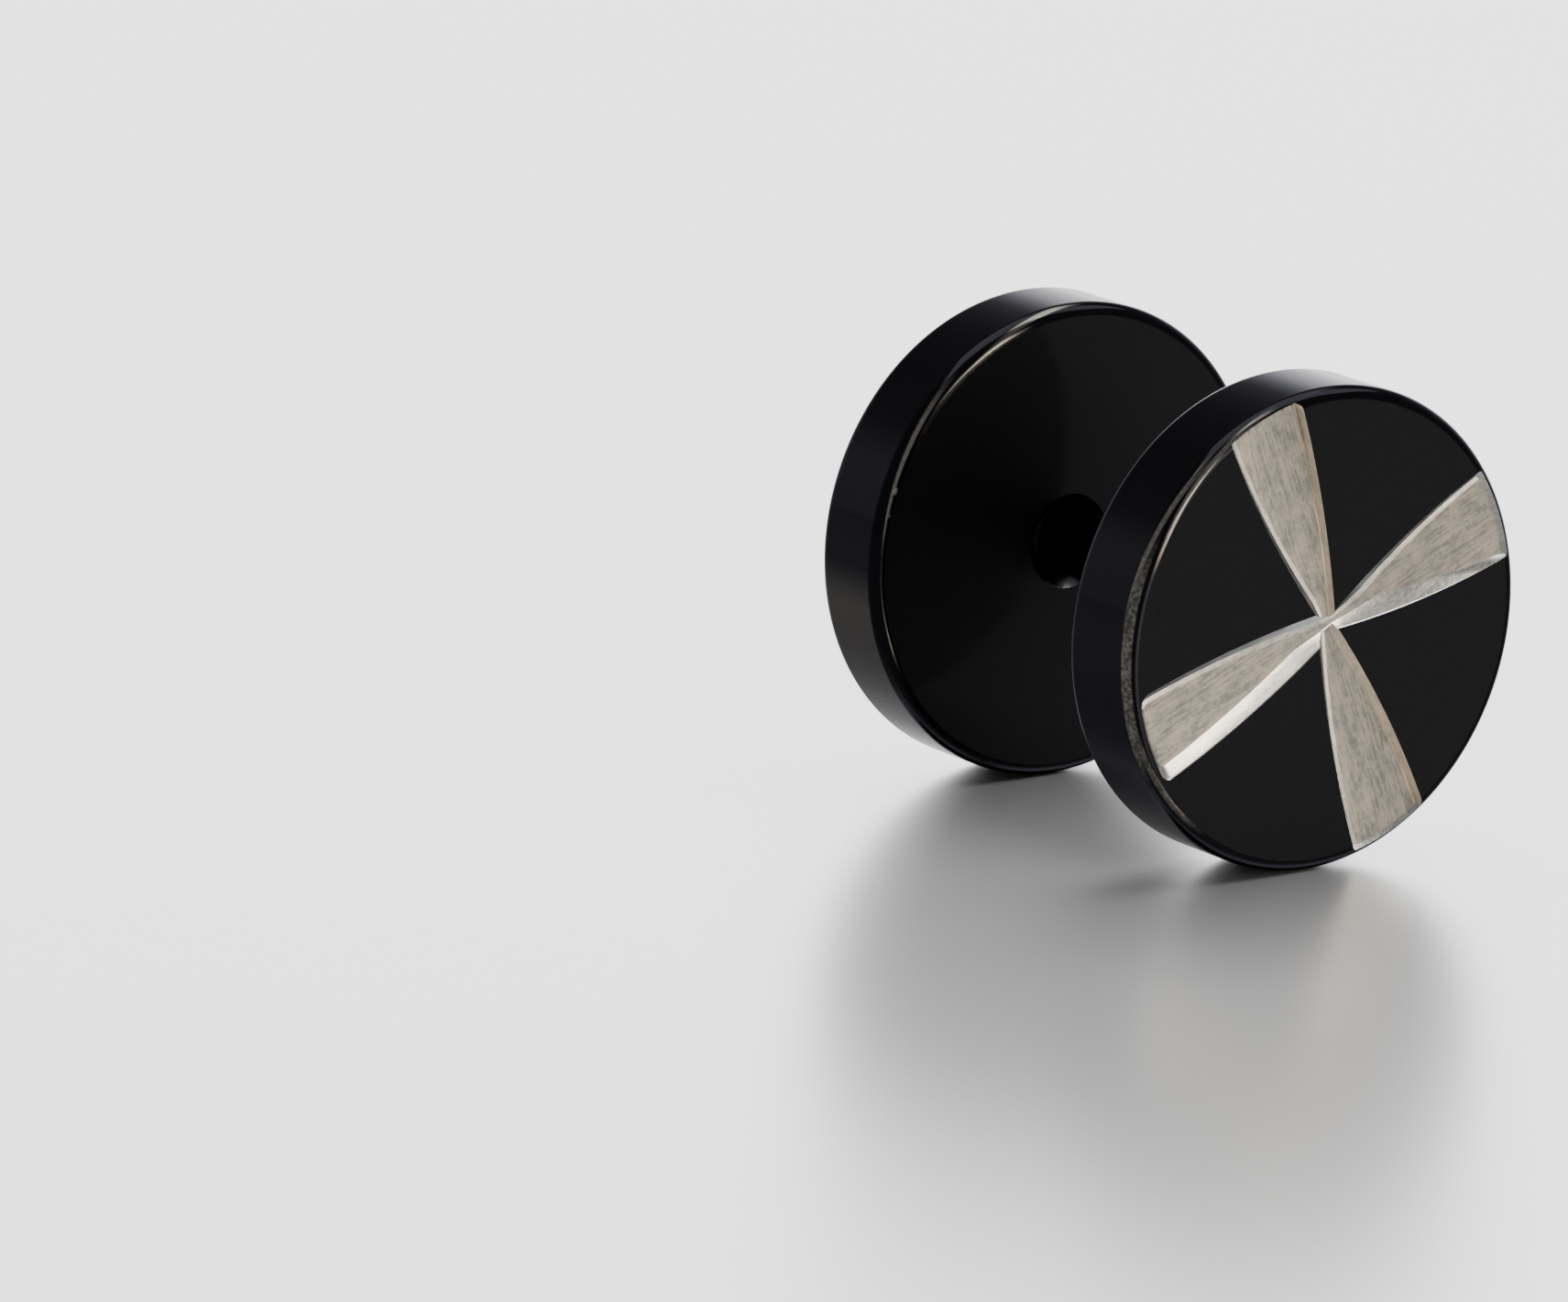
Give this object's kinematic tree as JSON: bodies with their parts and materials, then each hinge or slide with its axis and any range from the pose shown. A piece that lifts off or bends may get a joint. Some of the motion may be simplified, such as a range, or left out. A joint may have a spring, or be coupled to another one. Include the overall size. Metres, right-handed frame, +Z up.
{
  "type": "fake plug earring",
  "caption": "Barbell-shaped fake plug earring: two round black discs on a thin post, a milled cross on the front, and a back disc that screws off.",
  "frame": {"origin": "on the table under the middle of the earring, which lies on the rims of its two discs", "axes": "+Z up; +Y along the post, from the front disc to the back disc; -Y is the way the decorated face looks; +X to the right of someone who looks at that face"},
  "size_m": [0.01, 0.0102, 0.01],
  "materials": {
    "black_coated_steel": "black metallic coating, mirror polished, over steel; the milled cross is bare brushed steel",
    "post_steel": "black metallic coating over steel, polished"
  },
  "bodies": {
    "front": {"front_disc": "black_coated_steel", "post": "post_steel"},
    "back": {"back_disc": "black_coated_steel"}
  },
  "joints": [
    {"name": "back_disc_unscrew", "type": "slide", "parent": "front", "child": "back", "axis": [0, 1, 0], "range_m": [0, 0.0012]}
  ]
}
